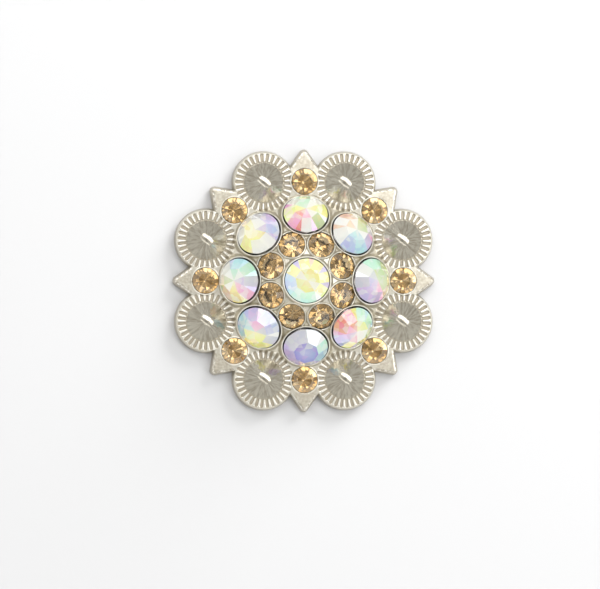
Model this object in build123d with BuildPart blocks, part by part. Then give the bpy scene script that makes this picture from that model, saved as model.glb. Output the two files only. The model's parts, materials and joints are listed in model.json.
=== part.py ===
"""Rhinestone concho: a domed die casting with eight berries, eight points and 25 cut stones.

All sizes are in millimetres. The back lies on z = 0, the face looks along +Z, and the
concho's own centre line is the Z axis. One of the eight points lies along +X.
"""

from math import asin, cos, hypot, radians, sin, sqrt, tan
import os

from build123d import *

os.makedirs("parts", exist_ok=True)

# The eight points and lobes: the points stand past the outer stones, and the lobes past the points
repeats = 8
point_tip_margin = 2.85
point_angle = 71
point_half_width = 3.0
point_tip_rounding = 0.7
lobe_radius = 4.6
lobe_reach_past_points = 0.92
rim_width = 0.45
rim_bevel = 0.25

# Flange and dome: the dome's edge lies outside the ring of crystals, and the flange's web outside it
flange_floor = 0.22
dome_rise = 5.0
dome_edge_margin = 2.35
web_margin = 1.64

# Berry, a cone with a rounded top
berry_radius = 2.88
berry_slope = 31
berry_top_rounding = 2.2

# Reeds that stand in a ring around each berry
reed_count = 30
reed_width = 0.38
reed_height = 0.25
berry_groove = 0.07

# Large iridescent crystals
crystal_diameter = 6.35
crystal_table = 3.3
crystal_crown = 1.4
crystal_girdle = 0.2
crystal_pavilion = 2.5

# Small topaz stones
topaz_diameter = 3.7
topaz_table = 1.95
topaz_crown = 0.75
topaz_girdle = 0.15
topaz_pavilion = 1.45

# Gaps in plan between neighbouring stones, from the centre outward: the centre crystal, the
# inner topaz stones, the leaning crystals that lap over them a little, and the outer topaz stones
inner_topaz_gap = 0.535
crystal_lap = 0.07
outer_topaz_gap = 0.26

# Cut that all the stones share
facet_count = 8
wedge_reach = 1.02
culet_radius = 0.12

# Cups that hold the stones
seat_clearance = 0.03
crystal_rim_clearance = 0.12
topaz_rim_clearance = 0.03
crystal_lip_width = 0.2
topaz_lip_width = 0.2
lip_above_girdle = 0.05
crystal_ledge_depth = 0.5
topaz_ledge_depth = 0.2
crystal_seat_rise = 0.3
topaz_seat_rise = 0.2
outer_topaz_seat_rise = 0.0
cup_root = 1.0
cup_draft = 12

# Hollow back, boss and screw post
back_wall = 4.4
boss_wall = 1.17
boss_recess = 0.3
post_radius = 2.5
post_length = 3.0
post_recess = 0.2
post_clearance = 0.03
thread_bore_radius = 1.72
thread_bore_depth = 2.5
mouth_chamfer = 0.3

# Turn of each stone's cut about its own axis, in degrees, used round and round
centre_crystal_turn = 10.5
dome_crystal_turns = (5, 10, 0, 3, -2, 10, 15, -15)
inner_topaz_turns = (10, -5, 22, 3, -16, 14, -11, 7)
outer_topaz_turns = (-7, 19, 2, -13, 9, -20, 15, 5)

# Worked out from the values above
pitch_angle = 360 / repeats
facet_angle = 360 / facet_count
half_pitch = radians(pitch_angle / 2)
outer_topaz_depth = topaz_girdle + topaz_pavilion + seat_clearance - outer_topaz_seat_rise
flange_thickness = flange_floor + outer_topaz_depth
inner_topaz_ring_radius = crystal_diameter / 2 + inner_topaz_gap + topaz_diameter / 2
crystal_spacing = (crystal_diameter + topaz_diameter) / 2 - crystal_lap
crystal_offset = sqrt(crystal_spacing**2 - (inner_topaz_ring_radius * sin(half_pitch)) ** 2)
crystal_ring_radius = inner_topaz_ring_radius * cos(half_pitch) + crystal_offset
dome_edge_radius = crystal_ring_radius + dome_edge_margin
dome_radius = (dome_edge_radius**2 + dome_rise**2) / (2 * dome_rise)
crystal_lean = asin(crystal_ring_radius / (dome_radius + crystal_seat_rise))
crystal_foot_radius = crystal_ring_radius + crystal_diameter / 2 * cos(crystal_lean)
outer_topaz_ring_radius = crystal_foot_radius + outer_topaz_gap + topaz_diameter / 2
width_over_points = 2 * (outer_topaz_ring_radius + topaz_diameter / 2 + point_tip_margin)
lobe_ring_radius = width_over_points / 2 + lobe_reach_past_points - lobe_radius
web_radius = dome_edge_radius + web_margin
point_half_angle = radians(point_angle / 2)
point_apex = width_over_points / 2 + point_tip_rounding * (1 / sin(point_half_angle) - 1)
point_root = point_apex - point_half_width / tan(point_half_angle)
reed_inner_radius = berry_radius + berry_groove
reed_outer_radius = lobe_radius - rim_width
groove_floor = flange_thickness - reed_height
dome_center_height = flange_thickness + dome_rise - dome_radius
hollow_sphere_radius = dome_radius - back_wall
hollow_top = dome_center_height + hollow_sphere_radius
hollow_radius = sqrt(hollow_sphere_radius**2 - dome_center_height**2)
boss_radius = post_radius + post_clearance + boss_wall
crystal_cup_radius = crystal_diameter / 2 + crystal_rim_clearance + crystal_lip_width
topaz_cup_radius = topaz_diameter / 2 + topaz_rim_clearance + topaz_lip_width


def polar(radius, angle, height=0):
    """Point at a radius, an angle about the centre line and a height."""
    return Vector(radius * cos(radians(angle)), radius * sin(radians(angle)), height)


def dome_seat(ring_radius, angle, rise):
    """Plane of a stone's girdle on the dome, leaning with it, its x axis pointing outward."""
    lean = asin(ring_radius / (dome_radius + rise))
    normal = polar(sin(lean), angle, cos(lean))
    girdle_center = Vector(0, 0, dome_center_height) + normal * (dome_radius + rise)
    return Plane(origin=girdle_center, x_dir=polar(cos(lean), angle, -sin(lean)), z_dir=normal)


def flange_seat(ring_radius, angle, rise):
    """Plane of a stone's girdle on the flat flange, its x axis pointing outward."""
    girdle_center = polar(ring_radius, angle, flange_thickness + rise)
    return Plane(origin=girdle_center, x_dir=polar(1, angle), z_dir=(0, 0, 1))


def facet_plane(reach, height, run, drop, angle):
    """Plane through the point at a reach and a height that falls outward by drop over run."""
    return Plane(origin=polar(reach, angle, height), z_dir=polar(drop, angle, run))


def cut_stone(diameter, table, crown, girdle, pavilion):
    """Round stone with a table, eight main and eight wedge crown facets and a pointed back.

    The top of the girdle is at z = 0 and the stone's own axis is the Z axis.
    """
    radius = diameter / 2
    table_half = table / 2
    table_corner = table_half / cos(radians(facet_angle / 2))
    wedge_radius = radius * wedge_reach
    with BuildPart() as stone:
        with BuildSketch(Plane.XY.offset(-girdle - pavilion)):
            Circle(radius)
        extrude(amount=pavilion + girdle + crown)
        for number in range(facet_count):
            main_angle = number * facet_angle
            wedge_angle = main_angle + facet_angle / 2
            main = facet_plane(radius, 0, radius - table_half, crown, main_angle)
            wedge = facet_plane(wedge_radius, 0, wedge_radius - table_corner, crown, wedge_angle)
            back = facet_plane(radius, -girdle, radius - culet_radius, -pavilion, wedge_angle)
            split(bisect_by=main, keep=Keep.BOTTOM)
            split(bisect_by=wedge, keep=Keep.BOTTOM)
            split(bisect_by=back, keep=Keep.TOP)
    return stone.part


def cup_pocket(diameter, girdle, pavilion, rim_clearance, ledge_depth):
    """Space in a cup for its stone: a round well down to a ledge, and a cone for the back.

    The cone is as wide as the corners between the stone's back facets, plus the clearance.
    """
    radius = diameter / 2
    culet_height = -girdle - pavilion
    corner_share = 1 / cos(radians(facet_angle / 2))
    ledge_reach = radius - (radius - culet_radius) * ledge_depth / pavilion
    ledge_radius = ledge_reach * corner_share + seat_clearance
    cone_end_radius = culet_radius * corner_share + seat_clearance
    with BuildPart() as pocket:
        with BuildSketch(Plane.XZ):
            with BuildLine():
                Polyline(
                    (0, culet_height - seat_clearance),
                    (cone_end_radius, culet_height - seat_clearance),
                    (ledge_radius, -girdle - ledge_depth),
                    (radius + rim_clearance, -girdle - ledge_depth),
                    (radius + rim_clearance, pavilion),
                    (0, pavilion),
                    close=True,
                )
            make_face()
        revolve(axis=Axis.Z)
    return pocket.part


def flange_outline():
    """Sketch of the flange: a round web, eight lobes and eight points with blunt tips.

    A point is widest inside the lobes beside it, so its straight sides run into their rims.
    """
    with BuildSketch() as outline:
        Circle(web_radius)
        with PolarLocations(lobe_ring_radius, repeats, start_angle=pitch_angle / 2):
            Circle(lobe_radius)
        with PolarLocations(0, repeats):
            Polygon(
                (point_apex, 0),
                (point_root, point_half_width),
                (0, 0),
                (point_root, -point_half_width),
                align=None,
            )
        tips = outline.vertices().filter_by(lambda tip: hypot(tip.X, tip.Y) > point_apex - 0.01)
        fillet(tips, radius=point_tip_rounding)
    return outline.sketch


# Where each stone sits: the plane of its girdle's upper edge
centre_seat = Plane((0, 0, flange_thickness + dome_rise + crystal_seat_rise))
dome_crystal_seats = [
    dome_seat(crystal_ring_radius, number * pitch_angle, crystal_seat_rise)
    for number in range(repeats)
]
inner_topaz_seats = [
    dome_seat(inner_topaz_ring_radius, (number + 0.5) * pitch_angle, topaz_seat_rise)
    for number in range(repeats)
]
outer_topaz_seats = [
    flange_seat(outer_topaz_ring_radius, number * pitch_angle, outer_topaz_seat_rise)
    for number in range(repeats)
]
crystal_seats = [centre_seat, *dome_crystal_seats]
topaz_seats = [*inner_topaz_seats, *outer_topaz_seats]

# One berry, standing on the floor of its reeded ring
berry_tangent_radius = berry_top_rounding * sin(radians(berry_slope))
berry_tangent_height = (berry_radius - berry_tangent_radius) * tan(radians(berry_slope))
berry_round_center = berry_tangent_height - berry_top_rounding * cos(radians(berry_slope))
with BuildPart() as berry:
    with BuildSketch(Plane.XZ):
        with BuildLine():
            Polyline(
                (0, berry_round_center + berry_top_rounding),
                (0, -reed_height),
                (berry_radius, -reed_height),
                (berry_radius, 0),
                (berry_tangent_radius, berry_tangent_height),
            )
            ThreePointArc(
                (berry_tangent_radius, berry_tangent_height),
                (
                    berry_top_rounding * sin(radians(berry_slope / 2)),
                    berry_round_center + berry_top_rounding * cos(radians(berry_slope / 2)),
                ),
                (0, berry_round_center + berry_top_rounding),
            )
        make_face()
    revolve(axis=Axis.Z)

# Cutter for the grooves of one ring: it leaves the reeds, on the flange and up the dome's flank
with BuildPart() as groove_cutter:
    with BuildSketch(Plane((lobe_ring_radius, 0, groove_floor))):
        Circle(reed_outer_radius)
        with PolarLocations((reed_inner_radius + lobe_radius) / 2, reed_count):
            Rectangle(lobe_radius - reed_inner_radius, reed_width, mode=Mode.SUBTRACT)
    extrude(amount=dome_rise)
    with Locations((0, 0, dome_center_height)):
        Sphere(dome_radius - reed_height, mode=Mode.SUBTRACT)

# Casting: flange, dome, reeds, berries, cups, hollow back and boss in one piece
crystal_pocket = cup_pocket(
    crystal_diameter, crystal_girdle, crystal_pavilion, crystal_rim_clearance, crystal_ledge_depth
)
topaz_pocket = cup_pocket(
    topaz_diameter, topaz_girdle, topaz_pavilion, topaz_rim_clearance, topaz_ledge_depth
)
dome_foot_height = flange_thickness / 2
dome_foot_radius = sqrt(dome_radius**2 - (dome_foot_height - dome_center_height) ** 2)
with BuildPart() as casting:
    with BuildSketch():
        add(flange_outline())
    extrude(amount=flange_thickness)
    chamfer(casting.faces().sort_by(Axis.Z)[-1].outer_wire().edges(), length=rim_bevel)
    with BuildSketch(Plane.XZ):
        with BuildLine():
            Polyline(
                (0, dome_center_height + dome_radius),
                (0, dome_foot_height),
                (dome_foot_radius, dome_foot_height),
            )
            RadiusArc(
                (0, dome_center_height + dome_radius),
                (dome_foot_radius, dome_foot_height),
                dome_radius,
            )
        make_face()
    revolve(axis=Axis.Z)
    with PolarLocations(0, repeats, start_angle=pitch_angle / 2):
        add(groove_cutter.part, mode=Mode.SUBTRACT)
    with Locations((0, 0, groove_floor)):
        with PolarLocations(lobe_ring_radius, repeats, start_angle=pitch_angle / 2):
            add(berry.part)
    for seats, cup_radius, girdle, pocket in (
        (crystal_seats, crystal_cup_radius, crystal_girdle, crystal_pocket),
        (topaz_seats, topaz_cup_radius, topaz_girdle, topaz_pocket),
    ):
        cup_depth = lip_above_girdle + girdle + cup_root
        with Locations(*[seat.offset(lip_above_girdle) for seat in seats]):
            Cone(
                cup_radius + cup_depth * tan(radians(cup_draft)),
                cup_radius,
                cup_depth,
                align=(Align.CENTER, Align.CENTER, Align.MAX),
            )
    with Locations(*crystal_seats):
        add(crystal_pocket, mode=Mode.SUBTRACT)
    with Locations(*topaz_seats):
        add(topaz_pocket, mode=Mode.SUBTRACT)
    with BuildSketch(Plane.XZ):
        with BuildLine():
            Polyline((0, hollow_top), (0, 0), (hollow_radius, 0))
            RadiusArc((0, hollow_top), (hollow_radius, 0), hollow_sphere_radius)
        make_face()
    revolve(axis=Axis.Z, mode=Mode.SUBTRACT)
    with BuildSketch(Plane.XY.offset(boss_recess)):
        Circle(boss_radius)
    extrude(until=Until.NEXT)
    with BuildSketch(Plane.XY):
        Circle(post_radius + post_clearance)
    extrude(amount=post_recess + post_length + post_clearance, mode=Mode.SUBTRACT)
casting.part.label = "casting"
export_step(casting.part, "parts/casting.step")

# Screw post: a plain threaded socket pressed into the boss from the back
with BuildPart() as screw_post:
    with BuildSketch(Plane.XY.offset(post_recess)):
        Circle(post_radius)
    extrude(amount=post_length)
    with Locations(Plane(origin=(0, 0, post_recess), z_dir=(0, 0, -1))):
        Hole(thread_bore_radius, thread_bore_depth)
    mouth = screw_post.edges().filter_by(GeomType.CIRCLE).sort_by(Axis.Z).group_by(SortBy.RADIUS)
    chamfer(mouth[0].sort_by(Axis.Z)[0], length=mouth_chamfer)
screw_post.part.label = "screw_post"
export_step(screw_post.part, "parts/screw_post.step")

# Stones: the same two cuts, each turned by its own angle in its own seat
crystal_cut = cut_stone(
    crystal_diameter, crystal_table, crystal_crown, crystal_girdle, crystal_pavilion
)
topaz_cut = cut_stone(topaz_diameter, topaz_table, topaz_crown, topaz_girdle, topaz_pavilion)
stone_places = [("centre_crystal", crystal_cut, centre_seat, centre_crystal_turn)]
for name, cut, seats, turns in (
    ("dome_crystal", crystal_cut, dome_crystal_seats, dome_crystal_turns),
    ("inner_topaz", topaz_cut, inner_topaz_seats, inner_topaz_turns),
    ("outer_topaz", topaz_cut, outer_topaz_seats, outer_topaz_turns),
):
    for number, seat in enumerate(seats):
        stone_places.append((f"{name}_{number + 1}", cut, seat, turns[number % len(turns)]))
for name, cut, seat, turn in stone_places:
    with BuildPart() as stone:
        with Locations(seat.location * Rotation(0, 0, turn)):
            add(cut)
    stone.part.label = name
    export_step(stone.part, f"parts/{name}.step")
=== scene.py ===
"""Dressed model of a rhinestone concho: satin nickel casting, foiled crystals and topaz stones.

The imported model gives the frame. Sizes in the classes are in millimetres, as in the part's own
source, and meshes are written in metres.
"""

from __future__ import annotations

import json
import logging
import math
from collections.abc import Callable
from dataclasses import dataclass, field
from enum import Enum
from functools import partial

import bmesh
import bpy
import numpy as np
from mathutils import Matrix, Vector
from mathutils.geometry import delaunay_2d_cdt
from mathutils.kdtree import KDTree

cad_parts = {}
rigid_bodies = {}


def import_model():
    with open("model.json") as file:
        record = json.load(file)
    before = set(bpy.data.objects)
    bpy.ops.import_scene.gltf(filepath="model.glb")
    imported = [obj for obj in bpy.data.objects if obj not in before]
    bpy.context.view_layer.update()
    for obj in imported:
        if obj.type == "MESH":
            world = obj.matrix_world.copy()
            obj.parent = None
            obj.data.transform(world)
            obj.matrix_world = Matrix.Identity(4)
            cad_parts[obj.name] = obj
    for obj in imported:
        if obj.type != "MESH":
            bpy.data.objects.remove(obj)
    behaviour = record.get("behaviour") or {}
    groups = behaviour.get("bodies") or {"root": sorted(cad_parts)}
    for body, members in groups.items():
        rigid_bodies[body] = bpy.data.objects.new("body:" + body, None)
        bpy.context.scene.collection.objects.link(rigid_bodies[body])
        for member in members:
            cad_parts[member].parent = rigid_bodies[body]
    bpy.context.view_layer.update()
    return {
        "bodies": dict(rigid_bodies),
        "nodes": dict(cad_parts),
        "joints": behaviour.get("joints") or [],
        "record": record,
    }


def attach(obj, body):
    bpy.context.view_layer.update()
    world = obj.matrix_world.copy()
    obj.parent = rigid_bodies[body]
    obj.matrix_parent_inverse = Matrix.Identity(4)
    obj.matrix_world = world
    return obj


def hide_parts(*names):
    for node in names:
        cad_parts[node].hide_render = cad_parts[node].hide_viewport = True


MM = 0.001
BODY = "root"
log = logging.getLogger("concho")


def linear(hex_colour: str) -> tuple[float, float, float, float]:
    """Turn an sRGB hex colour to a linear colour.

    Args:
        hex_colour: six hex digits.

    Returns:
        Red, green, blue and an alpha of one.
    """
    channels = [int(hex_colour[start : start + 2], 16) / 255 for start in (0, 2, 4)]
    curved = [c / 12.92 if c <= 0.04045 else ((c + 0.055) / 1.055) ** 2.4 for c in channels]
    return (*curved, 1.0)


def add_node(
    tree: bpy.types.NodeTree, kind: str, settings: dict | None = None, links: dict | None = None
) -> bpy.types.Node:
    """Add one shader node with its settings and its incoming links.

    Args:
        tree: node tree that takes the node.
        kind: type name of the node.
        settings: values by socket name or number, or by attribute name.
        links: what feeds each input: an output socket, or a node, for its first live output.

    Returns:
        The new node.
    """
    node = tree.nodes.new(kind)
    for name, value in (settings or {}).items():
        if isinstance(name, int) or name in node.inputs:
            node.inputs[name].default_value = value
        else:
            setattr(node, name, value)
    for name, source in (links or {}).items():
        if isinstance(source, bpy.types.Node):
            source = next(output for output in source.outputs if output.enabled)
        tree.links.new(source, node.inputs[name])
    return node


def new_material(name: str) -> tuple[bpy.types.Material, Callable[..., bpy.types.Node]]:
    """Make an empty node material.

    Args:
        name: name of the material.

    Returns:
        The material, and add_node tied to its tree.
    """
    material = bpy.data.materials.new(name)
    material.use_nodes = True
    material.node_tree.nodes.clear()
    return material, partial(add_node, material.node_tree)


def set_ramp(ramp: bpy.types.Node, stops: list[tuple[float, str]]) -> None:
    """Set a colour ramp's stops.

    Args:
        ramp: the ramp node.
        stops: positions from 0 to 1, each with an sRGB hex colour.
    """
    elements = ramp.color_ramp.elements
    while len(elements) < len(stops):
        elements.new(0.5)
    for element, (position, colour) in zip(elements, stops):
        element.position = position
        element.color = linear(colour)


def polar(radius: float, angle: float, height: float = 0.0) -> Vector:
    """Point at a radius, an angle in degrees about the centre line and a height."""
    turn = math.radians(angle)
    return Vector((radius * math.cos(turn), radius * math.sin(turn), height))


def add_object(name: str, data: bpy.types.ID) -> bpy.types.Object:
    """Link a new object to the scene.

    Args:
        name: name of the object.
        data: the mesh, light or camera that it holds.

    Returns:
        The object.
    """
    piece = bpy.data.objects.new(name, data)
    bpy.context.scene.collection.objects.link(piece)
    return piece


def smooth_max(a: np.ndarray, b: np.ndarray, blend: float) -> np.ndarray:
    """Larger of two heights, with a fillet about as wide as blend where they cross."""
    mix = np.clip(0.5 + 0.5 * (a - b) / blend, 0, 1)
    return b + (a - b) * mix + blend * mix * (1 - mix)


def quarter_round(depth: np.ndarray, radius: float) -> np.ndarray:
    """Drop of a rounded shoulder at a distance inside its foot, zero from the radius on."""
    inside = radius - np.clip(depth, 0, radius)
    return radius - np.sqrt(np.maximum(radius**2 - inside**2, 0))


@dataclass(frozen=True)
class Seat:
    """Where a stone sits: the centre of its girdle, its axis and the downhill direction."""

    center: Vector
    axis: Vector
    downhill: Vector

    def matrix(self, turn: float) -> Matrix:
        """Placement of a stone turned by some degrees about its own axis."""
        frame = Matrix((self.downhill, self.axis.cross(self.downhill), self.axis)).transposed().to_4x4()
        return Matrix.Translation(self.center) @ frame @ Matrix.Rotation(math.radians(turn), 4, "Z")


@dataclass(frozen=True)
class Plan:
    """Driving sizes of the concho, the same as in the part's source."""

    repeats: int = 8
    point_tip_margin: float = 2.85
    point_angle: float = 71.0
    point_tip_rounding: float = 0.7
    lobe_radius: float = 4.6
    lobe_reach_past_points: float = 0.92
    rim_width: float = 0.45
    flange_thickness: float = 1.85
    reed_height: float = 0.25
    dome_rise: float = 5.0
    dome_edge_margin: float = 2.35
    web_margin: float = 1.64
    back_wall: float = 4.4
    crystal_diameter: float = 6.35
    topaz_diameter: float = 3.7
    inner_topaz_gap: float = 0.535
    crystal_lap: float = 0.07
    outer_topaz_gap: float = 0.26
    crystal_rise: float = 0.3
    topaz_rise: float = 0.2

    @property
    def pitch(self) -> float:
        """Angle between one point and the next, in degrees."""
        return 360.0 / self.repeats

    @property
    def half_point(self) -> float:
        """Half of a point's angle, in radians."""
        return math.radians(self.point_angle / 2)

    @property
    def inner_topaz_ring_radius(self) -> float:
        """Plan radius of the topaz stones around the centre crystal."""
        return self.crystal_diameter / 2 + self.inner_topaz_gap + self.topaz_diameter / 2

    @property
    def crystal_ring_radius(self) -> float:
        """Plan radius of the crystals that nestle between the inner topaz stones.

        Returns:
            The radius.
        """
        ring, half = self.inner_topaz_ring_radius, math.radians(self.pitch / 2)
        spacing = (self.crystal_diameter + self.topaz_diameter) / 2 - self.crystal_lap
        return ring * math.cos(half) + math.sqrt(spacing**2 - (ring * math.sin(half)) ** 2)

    @property
    def dome_edge_radius(self) -> float:
        """Plan radius where the dome meets the flange."""
        return self.crystal_ring_radius + self.dome_edge_margin

    @property
    def dome_radius(self) -> float:
        """Radius of the dome's sphere."""
        return (self.dome_edge_radius**2 + self.dome_rise**2) / (2 * self.dome_rise)

    @property
    def outer_topaz_ring_radius(self) -> float:
        """Plan radius of the topaz stones in the points.

        Returns:
            The radius.
        """
        lean = math.asin(self.crystal_ring_radius / (self.dome_radius + self.crystal_rise))
        foot = self.crystal_ring_radius + self.crystal_diameter / 2 * math.cos(lean)
        return foot + self.outer_topaz_gap + self.topaz_diameter / 2

    @property
    def half_width(self) -> float:
        """Reach of a point's blunt tip."""
        return self.outer_topaz_ring_radius + self.topaz_diameter / 2 + self.point_tip_margin

    @property
    def point_apex(self) -> float:
        """Reach of a point's corner before it is rounded."""
        return self.half_width + self.point_tip_rounding * (1 / math.sin(self.half_point) - 1)

    @property
    def tip_center(self) -> float:
        """Reach of the centre that a point's tip is rounded about."""
        return self.point_apex - self.point_tip_rounding / math.sin(self.half_point)

    @property
    def lobe_ring_radius(self) -> float:
        """Plan radius of the lobes' centres."""
        return self.half_width + self.lobe_reach_past_points - self.lobe_radius

    @property
    def reach(self) -> float:
        """Plan radius of the lobes' outermost spots."""
        return self.lobe_ring_radius + self.lobe_radius

    @property
    def slot_end_radius(self) -> float:
        """Distance of the slots' outer ends from the lobe's centre."""
        return self.lobe_radius - self.rim_width

    @property
    def web_radius(self) -> float:
        """Plan radius of the flange's round web."""
        return self.dome_edge_radius + self.web_margin

    @property
    def dome_center(self) -> float:
        """Height of the centre of the dome's sphere."""
        return self.flange_thickness + self.dome_rise - self.dome_radius

    @property
    def hollow_sphere_radius(self) -> float:
        """Radius of the hollow in the back, about the dome's centre."""
        return self.dome_radius - self.back_wall

    def dome_seat(self, ring_radius: float, angle: float, rise: float) -> Seat:
        """Seat that leans with the dome.

        Args:
            ring_radius: plan radius of the girdle's centre.
            angle: angle about the centre line, in degrees.
            rise: height of the girdle over the dome.

        Returns:
            The seat.
        """
        lean = math.asin(ring_radius / (self.dome_radius + rise))
        axis = polar(math.sin(lean), angle, math.cos(lean))
        center = Vector((0, 0, self.dome_center)) + axis * (self.dome_radius + rise)
        return Seat(center, axis, polar(math.cos(lean), angle, -math.sin(lean)))

    def centre_seat(self) -> Seat:
        """Seat of the centre crystal."""
        height = self.flange_thickness + self.dome_rise + self.crystal_rise
        return Seat(Vector((0, 0, height)), Vector((0, 0, 1)), Vector((1, 0, 0)))

    def crystal_seat(self, angle: float) -> Seat:
        """Seat of a crystal in the ring on the dome."""
        return self.dome_seat(self.crystal_ring_radius, angle, self.crystal_rise)

    def inner_topaz_seat(self, angle: float) -> Seat:
        """Seat of a topaz stone beside the centre crystal."""
        return self.dome_seat(self.inner_topaz_ring_radius, angle, self.topaz_rise)

    def outer_topaz_seat(self, angle: float) -> Seat:
        """Seat of a topaz stone in the flange, flush with it."""
        center = polar(self.outer_topaz_ring_radius, angle, self.flange_thickness)
        return Seat(center, Vector((0, 0, 1)), polar(1, angle))


@dataclass(frozen=True)
class Cup:
    """One kind of stone cup as the casting's wedge holds it.

    The well may sit a little uphill of the stone, which leaves the dark gap on its upper side.
    """

    seat: Seat
    well_radius: float
    lip_width: float
    floor: float
    uphill_shift: float = 0.0
    lip_above_girdle: float = 0.05
    lip_round: float = 0.1
    wall_slope: float = 2.6
    ring_spacing: float = 0.15
    inner_step: float = 0.03
    ring_shares: tuple[float, ...] = (0, 0.2, 0.5, 0.8, 1.0, 1.35, 1.9, 2.6)

    @property
    def lip_center(self) -> Vector:
        """Centre of the lip's plane."""
        lift = self.seat.axis * self.lip_above_girdle
        return self.seat.center + lift - self.seat.downhill * self.uphill_shift

    def plane_reach(self, x: np.ndarray, y: np.ndarray) -> tuple[np.ndarray, np.ndarray]:
        """Read the lip's plane over plan points.

        Args:
            x: plan x of the points.
            y: plan y of the points.

        Returns:
            Height of the lip's plane, and distance from the well's axis within that plane.
        """
        axis, lip = self.seat.axis, self.lip_center
        dx, dy = x - lip.x, y - lip.y
        dz = -(axis.x * dx + axis.y * dy) / axis.z
        return lip.z + dz, np.sqrt(dx * dx + dy * dy + dz * dz)

    def rim_height(self, x: np.ndarray, y: np.ndarray) -> np.ndarray:
        """Read the rounded lip and its outer wall over plan points.

        Args:
            x: plan x of the points.
            y: plan y of the points.

        Returns:
            Their heights.
        """
        plane, reach = self.plane_reach(x, y)
        half = self.lip_width / 2
        across = np.clip(np.abs(reach - self.well_radius - half) / half, 0, 1)
        crest = plane - self.lip_round * (1 - np.sqrt(1 - across**2))
        outside = np.maximum(reach - self.well_radius - self.lip_width, 0)
        return crest - self.wall_slope * outside

    def within(self, x: np.ndarray, y: np.ndarray) -> np.ndarray:
        """True over plan points that lie inside the well."""
        return self.plane_reach(x, y)[1] < self.well_radius - self.inner_step / 2

    def rings(self) -> np.ndarray:
        """Circles of points that carry the lip, with the well's edge doubled.

        Returns:
            Plan points.
        """
        downhill, side = self.seat.downhill, self.seat.axis.cross(self.seat.downhill)
        outward = [share * self.lip_width for share in self.ring_shares]
        count = 16 * math.ceil(2 * math.pi * self.well_radius / self.ring_spacing / 16)
        points = []
        for step in (-self.inner_step, *outward):
            for turn in np.linspace(0, 2 * math.pi, count, endpoint=False):
                spot = downhill * math.cos(turn) + side * math.sin(turn)
                points.append((self.lip_center + spot * (self.well_radius + step))[:2])
        return np.array(points)


@dataclass
class Sieve:
    """Plan points that keep their distance from each other, found again by the cell they lie in."""

    cell: float = 0.25
    kept: list[tuple[float, float]] = field(default_factory=list)
    cells: dict[tuple[int, int], list[tuple[float, float]]] = field(default_factory=dict)

    def add(self, x: float, y: float, gap: float = 0.0) -> bool:
        """Keep a point, unless one that is already kept lies within the gap.

        Args:
            x: plan x of the point.
            y: plan y of the point.
            gap: least distance to the points kept before.

        Returns:
            True if the point is kept.
        """
        column, row = math.floor(x / self.cell), math.floor(y / self.cell)
        for i in (column - 1, column, column + 1):
            for j in (row - 1, row, row + 1):
                for near_x, near_y in self.cells.get((i, j), ()):
                    if abs(near_x - x) < gap and math.hypot(near_x - x, near_y - y) < gap:
                        return False
        self.kept.append((x, y))
        self.cells.setdefault((column, row), []).append((x, y))
        return True


@dataclass
class Patch:
    """Some faces: points in space, triangles and exact corner normals, zero if not known."""

    spots: np.ndarray
    faces: np.ndarray
    normals: np.ndarray

    @classmethod
    def joined(cls, patches: list[Patch]) -> Patch:
        """Put patches into one, without welding them.

        Args:
            patches: the patches.

        Returns:
            One patch with all their points and faces.
        """
        starts = np.cumsum([0] + [len(patch.spots) for patch in patches])
        spots = np.concatenate([patch.spots for patch in patches])
        faces = np.concatenate([patch.faces + start for patch, start in zip(patches, starts)])
        return cls(spots, faces, np.concatenate([patch.normals for patch in patches]))


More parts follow.
